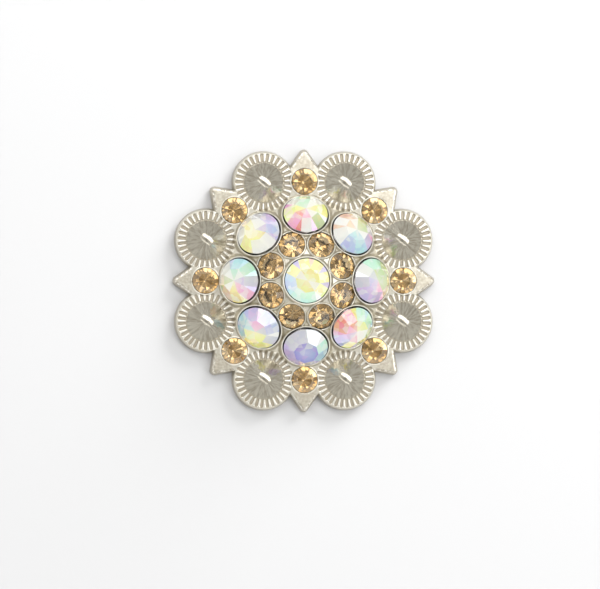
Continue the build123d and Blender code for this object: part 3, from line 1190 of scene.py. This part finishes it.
@dataclass
class Stones:
    """The glued stones: each one is cut, charted facet by facet, foiled and set in its seat."""

    plan: Plan
    crystal_glass: bpy.types.Material
    crystal_foil: bpy.types.Material
    topaz_glass: bpy.types.Material
    topaz_foil: bpy.types.Material

    def place(
        self, name: str, cut: StoneCut, seat: Seat, turn: float, tints: dict[str, list[str]]
    ) -> bpy.types.Object:
        """Cut a stone, colour its facets and set it in its seat.

        Args:
            name: name of the CAD node that the stone stands for.
            cut: the stone's cut.
            seat: its seat.
            turn: turn about its own axis, in degrees.
            tints: sRGB hex colours by kind of facet.

        Returns:
            The stone, its glass in the first material slot and its foil in the second.
        """
        bm = cut.mesh()
        layer = bm.loops.layers.float_color.new("tint")
        white, own = Vector((1, 1, 1, 1)), {}
        for face in bm.faces:
            kind, number = cut.facet(face)
            face.material_index = 1 if kind in ("foil", "girdle") else 0
            own[face] = Vector(linear(tints[kind][number % len(tints[kind])]))
        for face, tint in own.items():
            for loop in face.loops:
                near = [own[other] for other in loop.vert.link_faces]
                mixed = sum(near, Vector((0, 0, 0, 0))) / len(near)
                # White is painted into the middle of each stone as a highlight.
                loop[layer] = tint.lerp(mixed, cut.bleed).lerp(white, cut.glow(loop.vert.co))
        bmesh.ops.transform(bm, matrix=seat.matrix(turn), verts=bm.verts)
        bmesh.ops.scale(bm, vec=(MM, MM, MM), verts=bm.verts)
        mesh = bpy.data.meshes.new(f"{name}_cut")
        bm.to_mesh(mesh)
        bm.free()
        stone = add_object(f"{name}_cut", mesh)
        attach(stone, BODY)
        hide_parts(name)
        return stone

    def crystal(self, name: str, seat: Seat, number: int, chart: CoatAndGlintChart) -> None:
        """Set one iridescent crystal by its chart.

        Args:
            name: name of the CAD node that the crystal stands for.
            seat: its seat.
            number: how many facets the seat is turned round from +x.
            chart: the colours of its facets.
        """
        rows = {"table": chart.table, "main": chart.mains, "wedge": chart.wedges, "foil": chart.foil}
        tints = {kind: Tint.read(row[number:] + row[:number]) for kind, row in rows.items()}
        tints["girdle"] = Tint.read("s")
        stone = self.place(name, CRYSTAL_CUT, seat, chart.turn, tints)
        stone.data.materials.append(self.crystal_glass)
        stone.data.materials.append(self.crystal_foil)

    def topaz(self, name: str, seat: Seat, turn: float, tones: tuple[str, ...]) -> None:
        """Set one topaz stone, its facets painted a little lighter and darker in turn, as highlight and
        shade.

        Args:
            name: name of the CAD node that the stone stands for.
            seat: its seat.
            turn: turn about its own axis, in degrees.
            tones: sRGB hex colours that its facets take in turn.
        """
        tints = {kind: list(tones) for kind in ("table", "main", "wedge", "foil", "girdle")}
        stone = self.place(name, TOPAZ_CUT, seat, turn, tints)
        stone.data.materials.append(self.topaz_glass)
        stone.data.materials.append(self.topaz_foil)

    def build(self) -> None:
        """Set all the stones."""
        plan = self.plan
        self.crystal("centre_crystal", plan.centre_seat(), 0, CENTRE_CHART)
        for number in range(plan.repeats):
            angle, shift = number * plan.pitch, number - plan.repeats
            seat = plan.crystal_seat(angle)
            self.crystal(f"dome_crystal_{number + 1}", seat, number, RING_CHARTS[number])
            seat = plan.inner_topaz_seat(angle + plan.pitch / 2)
            tones = INNER_TOPAZ_DARKENED_TONES[shift:] + INNER_TOPAZ_DARKENED_TONES[:shift]
            self.topaz(f"inner_topaz_{number + 1}", seat, INNER_TOPAZ_TURNS[number], tones)
            seat = plan.outer_topaz_seat(angle)
            tones = OUTER_TOPAZ_LIGHTENED_TONES[shift:] + OUTER_TOPAZ_LIGHTENED_TONES[:shift]
            self.topaz(f"outer_topaz_{number + 1}", seat, OUTER_TOPAZ_TURNS[number], tones)


@dataclass(frozen=True)
class SatinNickelPlate:
    """Nickel plate on a tumbled zinc casting: warm white metal, smoother where it was rubbed, with a
    painted highlight there.

    The berries are die-polished with fine radial streaks, the points keep the sandy skin of the
    mould, the slots between the reeds and the outer wall are duller and carry painted shade, and the
    cups' bottoms are painted near black as shade.
    """

    metal: str = "d1ccbe"
    streak: str = "b1a999"
    sand_and_shade: str = "b6ad9c"
    painted_highlight_tone: str = "fdfaf1"
    near_black_shade: str = "2e2923"
    satin_roughness: float = 0.36
    polished_roughness: float = 0.16
    recess_roughness: float = 0.5
    grain_mm: float = 0.36
    grain_depth_mm: float = 0.055
    plain_grain: float = 0.25
    streaks_per_turn: float = 40.0
    cloud_mm: float = 2.5
    cloud_wear: float = 0.22

    def material(self) -> bpy.types.Material:
        """Build the plate.

        Returns:
            The material.
        """
        # A tumbled plate gives broad soft highlights, sharper on the polished berries.
        material, add = new_material("satin nickel plate, tumbled")
        recess, rubbed, berry, sand = (
            add("ShaderNodeAttribute", {"attribute_name": name}).outputs["Fac"]
            for name in ("recess", "rubbed", "berry", "sand")
        )
        lobe_grain = add("ShaderNodeAttribute", {"attribute_name": "lobe_grain"}).outputs["Vector"]
        place = add("ShaderNodeTexCoord").outputs["Object"]
        settings = {"Scale": 1 / (self.cloud_mm * MM), "Detail": 2.0}
        cloudy = add("ShaderNodeTexNoise", settings, {"Vector": place})
        settings = {"From Min": 0.3, "From Max": 0.7, "To Max": self.cloud_wear}
        wear = add("ShaderNodeMapRange", settings, {"Value": cloudy})
        # The polishing streaks are finer in metal than the picture can show.
        settings = {"Scale": self.streaks_per_turn / math.tau, "Detail": 3.0, "Roughness": 0.6}
        streaks = add("ShaderNodeTexNoise", settings, {"Vector": lobe_grain})
        contrast = add("ShaderNodeValToRGB", links={"Fac": streaks})
        set_ramp(contrast, [(0.42, "000000"), (0.66, "ffffff")])
        streaked = add("ShaderNodeMath", {"operation": "MULTIPLY"}, {0: contrast, 1: berry})
        # The mould's sand is drawn several times coarser, so that its speckle shows.
        settings = {"Scale": 1 / (self.grain_mm * MM), "Detail": 4.0, "Roughness": 0.65}
        grain = add("ShaderNodeTexNoise", settings, {"Vector": place})
        speckle = add("ShaderNodeMapRange", {"From Min": 0.38, "From Max": 0.62}, {"Value": grain})
        # The sand's speckle on the points and the painted shade in the slots and on the outer wall darken
        # towards one tone.
        settings = {"operation": "MULTIPLY_ADD", "use_clamp": True}
        sand_and_shade_share = add("ShaderNodeMath", settings, {0: speckle, 1: sand, 2: recess})
        # Painted highlight on the reed tops, the points' shoulders and the lips; the berries only get
        # their polish.
        settings = {"operation": "SUBTRACT", "use_clamp": True}
        wear_and_highlight = add("ShaderNodeMath", settings, {0: rubbed, 1: berry})
        painted_highlight_share = add("ShaderNodeMapRange", {"From Max": 0.5}, {"Value": wear_and_highlight})
        # The recess mark runs up to 1 in the slots and stands at 2 in the cups, whose bottoms are painted
        # near black as shade.
        depth = add("ShaderNodeMath", {**settings, 1: 1.0}, {0: recess})
        # Each tone is laid over the last: random clouds and berry streaks, the painted highlight, sand
        # speckle with painted shade, and near-black painted shade in the cups.
        layers = (
            (wear, self.streak),
            (streaked, self.streak),
            (painted_highlight_share, self.painted_highlight_tone),
            (sand_and_shade_share, self.sand_and_shade),
            (depth, self.near_black_shade),
        )
        colour = None
        for share, tone in layers:
            links = {0: share, 6: colour} if colour else {0: share}
            settings = {"data_type": "RGBA", 6: linear(self.metal), 7: linear(tone)}
            colour = add("ShaderNodeMix", settings, links)
        settings = {"To Min": self.satin_roughness, "To Max": self.polished_roughness}
        shine = add("ShaderNodeMapRange", settings, {"Value": rubbed})
        settings, links = {"To Max": self.recess_roughness}, {"Value": recess, "To Min": shine}
        roughness = add("ShaderNodeMapRange", settings, links)
        strength = add("ShaderNodeMapRange", {"To Min": self.plain_grain}, {"Value": sand})
        settings, links = {"Distance": self.grain_depth_mm * MM}, {"Height": grain, "Strength": strength}
        relief = add("ShaderNodeBump", settings, links)
        shader = add(
            "ShaderNodeBsdfPrincipled",
            {"Metallic": 1.0},
            {"Base Color": colour, "Roughness": roughness, "Normal": relief},
        )
        add("ShaderNodeOutputMaterial", links={"Surface": shader})
        return material


@dataclass(frozen=True)
class TurnedBrass:
    """Turned brass: yellow metal with the fine rings that the lathe tool leaves."""

    metal: str = "d9b869"
    groove: str = "c4a055"
    roughness: float = 0.28
    ring_mm: float = 0.25
    ring_depth_mm: float = 0.012

    def material(self) -> bpy.types.Material:
        """Build the brass.

        Returns:
            The material.
        """
        # Turning leaves rings that catch the light, drawn coarser than the tool's real feed.
        # At a scale of one the wave node draws a ring every twentieth of a full turn's radians.
        material, add = new_material("turned brass")
        rings = add(
            "ShaderNodeTexWave",
            {
                "wave_type": "RINGS",
                "rings_direction": "Z",
                "Scale": math.tau / (20 * self.ring_mm * MM),
                "Distortion": 0.4,
                "Detail": 1.0,
            },
            {"Vector": add("ShaderNodeTexCoord").outputs["Object"]},
        )
        relief = add(
            "ShaderNodeBump",
            {"Distance": self.ring_depth_mm * MM, "Strength": 0.6},
            {"Height": rings.outputs["Fac"]},
        )
        tone = add("ShaderNodeValToRGB", links={"Fac": rings.outputs["Fac"]})
        set_ramp(tone, [(0.0, self.groove), (1.0, self.metal)])
        shader = add(
            "ShaderNodeBsdfPrincipled",
            {"Metallic": 1.0, "Roughness": self.roughness},
            {"Base Color": tone, "Normal": relief},
        )
        add("ShaderNodeOutputMaterial", links={"Surface": shader})
        return material


@dataclass(frozen=True)
class FacetColour:
    """Colour of a stone: each facet's own tint, broken into patches, over the body colour.

    The patches stand for the reflections of one facet in others. The hue swings to either side by
    a share of the colour circle, and the whiteness is the share of white in the whitest patches,
    while the calm share of the patches holds none.
    """

    body: str
    strength: float
    hue_swing: float = 0.0
    whiteness: float = 0.0
    calm_share: float = 0.5
    patch_mm: float = 0.85

    def node(self, add: Callable[..., bpy.types.Node]) -> bpy.types.Node:
        """Build the colour.

        Args:
            add: add_node tied to the material's tree.

        Returns:
            The node that gives the colour.
        """
        tint = add("ShaderNodeAttribute", {"attribute_name": "tint"})
        place = add("ShaderNodeTexCoord").outputs["Object"]
        patches = add("ShaderNodeTexVoronoi", {"Scale": 1 / (self.patch_mm * MM)}, {"Vector": place})
        chance = add("ShaderNodeSeparateColor", links={"Color": patches.outputs["Color"]})
        hue = add(
            "ShaderNodeMapRange",
            {"To Min": 0.5 - self.hue_swing, "To Max": 0.5 + self.hue_swing},
            {"Value": chance.outputs["Red"]},
        )
        fade = add(
            "ShaderNodeMapRange",
            {"From Min": self.calm_share, "To Min": 1.0, "To Max": 1.0 - self.whiteness},
            {"Value": chance.outputs["Green"]},
        )
        drifted = add("ShaderNodeHueSaturation", None, {"Color": tint, "Hue": hue, "Saturation": fade})
        return add(
            "ShaderNodeMix",
            {"data_type": "RGBA", "blend_type": "MULTIPLY", 0: self.strength, 6: linear(self.body)},
            {7: drifted},
        )


@dataclass(frozen=True)
class CutGlass:
    """Cut and polished lead glass, with sharp flashes from its flat facets.

    A vacuum coating of high index over the crown makes the flashes stronger, and throws back a
    share of the light in the facet's own tint, which the clear share of the glass doesn't.
    """

    name: str
    colour: FacetColour
    clearness: float = 1.0
    coating_nm: float = 0.0
    coating_index: float = 2.2
    roughness: float = 0.02
    index: float = 1.56

    def material(self) -> bpy.types.Material:
        """Build the glass.

        Returns:
            The material.
        """
        # Polished lead glass is almost mirror smooth, so each facet flashes as a whole.
        material, add = new_material(self.name)
        shader = add(
            "ShaderNodeBsdfPrincipled",
            {
                "Roughness": self.roughness,
                "IOR": self.index,
                "Transmission Weight": self.clearness,
                "Thin Film Thickness": self.coating_nm,
                "Thin Film IOR": self.coating_index,
            },
            {"Base Color": self.colour.node(add)},
        )
        add("ShaderNodeOutputMaterial", links={"Surface": shader})
        return material


@dataclass(frozen=True)
class MirrorFoil:
    """Vapour-coated foil behind a stone: bright metal that throws the light back through it."""

    name: str
    colour: FacetColour
    roughness: float

    def material(self) -> bpy.types.Material:
        """Build the foil.

        Returns:
            The material.
        """
        # A bright back lights the stone from within.
        material, add = new_material(self.name)
        settings = {"Metallic": 1.0, "Roughness": self.roughness}
        shader = add("ShaderNodeBsdfPrincipled", settings, {"Base Color": self.colour.node(add)})
        add("ShaderNodeOutputMaterial", links={"Surface": shader})
        return material


@dataclass
class Studio:
    """Pale floor, two long overhead softboxes with the camera between them, and grey walls.

    A low lamp on the right, linked to the floor only, draws the soft shadow on the left.
    """

    pixels_across: int = 600
    pixels_down: int = 589
    mm_per_pixel: float = 0.1452
    center_pixel: tuple[float, float] = (303.6, 280.8)
    camera_distance: float = 520.0
    camera_lean: float = 4.0
    lens: float = 85.0
    floor_size: float = 600.0
    floor_colour: str = "b9b9ba"
    floor_roughness: float = 0.9
    softbox_height: float = 600.0
    softbox_length: float = 1500.0
    slit_angle: float = -38.0
    wall_power: float = 2.0
    wall_slant: float = -0.16
    lamp_rise: float = 20.0
    lamp_width: float = 450.0
    lamp_distance: float = 700.0
    lamp_power: float = 8.0

    @property
    def upper_right(self) -> Vector:
        """Level direction across the slit between the softboxes, to the upper right."""
        slit = math.radians(self.slit_angle)
        return Vector((-math.sin(slit), math.cos(slit), 0))

    def camera(self) -> None:
        """Place the camera almost straight above, leaning a little to the left."""
        data = bpy.data.cameras.new("camera")
        camera = add_object("camera", data)
        bpy.context.scene.camera = camera
        data.lens = self.lens
        wide = self.pixels_across * self.mm_per_pixel
        data.sensor_width = wide * self.lens / self.camera_distance
        data.clip_start, data.clip_end = 0.01, 10.0
        lean = math.radians(self.camera_lean)
        back = Vector((-math.sin(lean), 0, math.cos(lean)))
        right = Vector((math.cos(lean), 0, math.sin(lean)))
        up = Vector((0, 1, 0))
        dx = (self.pixels_across / 2 - self.center_pixel[0]) * self.mm_per_pixel
        dy = (self.center_pixel[1] - self.pixels_down / 2) * self.mm_per_pixel
        spot = (back * self.camera_distance + right * dx + up * dy) * MM
        rotation = Matrix((right, up, back)).transposed()
        camera.matrix_world = Matrix.Translation(spot) @ rotation.to_4x4()

    def floor(self) -> bpy.types.Object:
        """Lay the pale floor under the back.

        Returns:
            The floor.
        """
        bm = bmesh.new()
        bmesh.ops.create_grid(bm, x_segments=1, y_segments=1, size=self.floor_size * MM)
        mesh = bpy.data.meshes.new("floor")
        bm.to_mesh(mesh)
        bm.free()
        floor = add_object("floor", mesh)
        # Uncoated paper is matt, so it shows no reflection.
        material, add = new_material("white paper sweep")
        settings = {"Base Color": linear(self.floor_colour), "Roughness": self.floor_roughness}
        shader = add("ShaderNodeBsdfPrincipled", settings)
        add("ShaderNodeOutputMaterial", links={"Surface": shader})
        mesh.materials.append(material)
        return floor

    def floor_lamp(self, floor: bpy.types.Object) -> None:
        """Set the round lamp low on the right, which gives the floor its shadow.

        Args:
            floor: the only object that the lamp is linked to.
        """
        rise = math.radians(self.lamp_rise)
        towards = self.upper_right * math.cos(rise) + Vector((0, 0, math.sin(rise)))
        data = bpy.data.lights.new("floor lamp", "AREA")
        data.shape = "DISK"
        data.size = self.lamp_width * MM
        data.energy = self.lamp_power
        lamp = add_object("floor lamp", data)
        lamp.location = towards * self.lamp_distance * MM
        lamp.rotation_euler = towards.to_track_quat("Z", "Y").to_euler()
        receivers = bpy.data.collections.new("lit by the floor lamp")
        receivers.objects.link(floor)
        lamp.light_linking.receiver_collection = receivers

    def softbox(self, name: str, near: float, far: float, power: float) -> None:
        """Hang one long softbox beside the camera.

        Args:
            name: name of the light.
            near: angle of its inner edge from the vertical, in degrees, signed by side.
            far: angle of its outer edge.
            power: radiance of its face.
        """
        inner, outer = (self.softbox_height * math.tan(math.radians(angle)) for angle in (near, far))
        data = bpy.data.lights.new(name, "AREA")
        data.shape = "RECTANGLE"
        data.size, data.size_y = self.softbox_length * MM, abs(outer - inner) * MM
        data.energy = power * math.pi * data.size * data.size_y
        light = add_object(name, data)
        middle = self.upper_right * (inner + outer) / 2
        light.location = (middle + Vector((0, 0, self.softbox_height))) * MM
        light.rotation_euler = (0, 0, math.radians(self.slit_angle))

    def world(self) -> None:
        """Grey walls: pale by the floor, grey from there up, and darkest round the camera."""
        world = bpy.data.worlds.new("studio walls")
        bpy.context.scene.world = world
        world.use_nodes = True
        add, background = partial(add_node, world.node_tree), world.node_tree.nodes["Background"]
        direction = add("ShaderNodeTexCoord").outputs["Generated"]
        height = add("ShaderNodeSeparateXYZ", links={"Vector": direction}).outputs["Z"]
        walls = add("ShaderNodeValToRGB", links={"Fac": height})
        stops = [(0.15, "f2f2f1"), (0.3, "9c9c9a"), (0.961, "949492"), (0.978, "767573")]
        set_ramp(walls, stops)
        slant = add(
            "ShaderNodeVectorMath",
            {"operation": "DOT_PRODUCT", 1: self.upper_right * self.wall_slant},
            {0: direction},
        )
        strength = add(
            "ShaderNodeMath", {"operation": "ADD", 1: self.wall_power}, {0: slant.outputs["Value"]}
        )
        world.node_tree.links.new(walls.outputs["Color"], background.inputs["Color"])
        world.node_tree.links.new(strength.outputs[0], background.inputs["Strength"])

    def build(self) -> None:
        """Set up the whole studio."""
        self.camera()
        self.floor_lamp(self.floor())
        self.softbox("softbox upper right", near=11.5, far=36, power=2.7)
        self.softbox("softbox lower left", near=-14.5, far=-20, power=1.9)
        self.world()
        view = bpy.context.scene.view_settings
        view.view_transform = "Standard"
        view.look = "None"


def main() -> None:
    """Build the concho's pieces in order."""
    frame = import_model()
    plan = Plan()
    cups = [
        Cup(plan.centre_seat(), well_radius=3.275, lip_width=0.22, floor=4.3),
        Cup(plan.crystal_seat(0), well_radius=3.33, lip_width=0.2, floor=1.8, uphill_shift=0.2),
        Cup(plan.inner_topaz_seat(plan.pitch / 2), well_radius=1.9, lip_width=0.2, floor=4.4),
        Cup(plan.outer_topaz_seat(0), well_radius=1.9, lip_width=0.2, floor=0.2),
    ]
    casting = Casting(plan, cups).build()
    casting.data.materials.append(SatinNickelPlate().material())
    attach(casting, BODY)
    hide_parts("casting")
    log.info("casting: %d triangles", len(casting.data.polygons))
    post = frame["nodes"]["screw_post"]
    post.data.materials.clear()
    post.data.materials.append(TurnedBrass().material())
    log.info("screw post: turned brass on the packed node")
    coat = FacetColour("fffdf3", strength=1.0, hue_swing=0.035, whiteness=0.6)
    silver = FacetColour("fefefe", strength=0.5, hue_swing=0.05)
    topaz, gilt = FacetColour("efe5d5", strength=0.4), FacetColour("fdf2de", strength=0.7)
    stones = Stones(
        plan,
        CutGlass("lead glass, iridescent coat", coat, clearness=0.14, coating_nm=26.0).material(),
        MirrorFoil("silver foil, iridescent", silver, roughness=0.14).material(),
        CutGlass("topaz lead glass", topaz).material(),
        MirrorFoil("gilt foil", gilt, roughness=0.1).material(),
    )
    stones.build()
    log.info("stones: %d", 1 + 3 * plan.repeats)
    Studio().build()
    log.info("studio: floor, two softboxes, floor lamp, walls and camera")


if __name__ == "__main__":
    logging.basicConfig(level=logging.INFO, format="%(message)s")
    main()
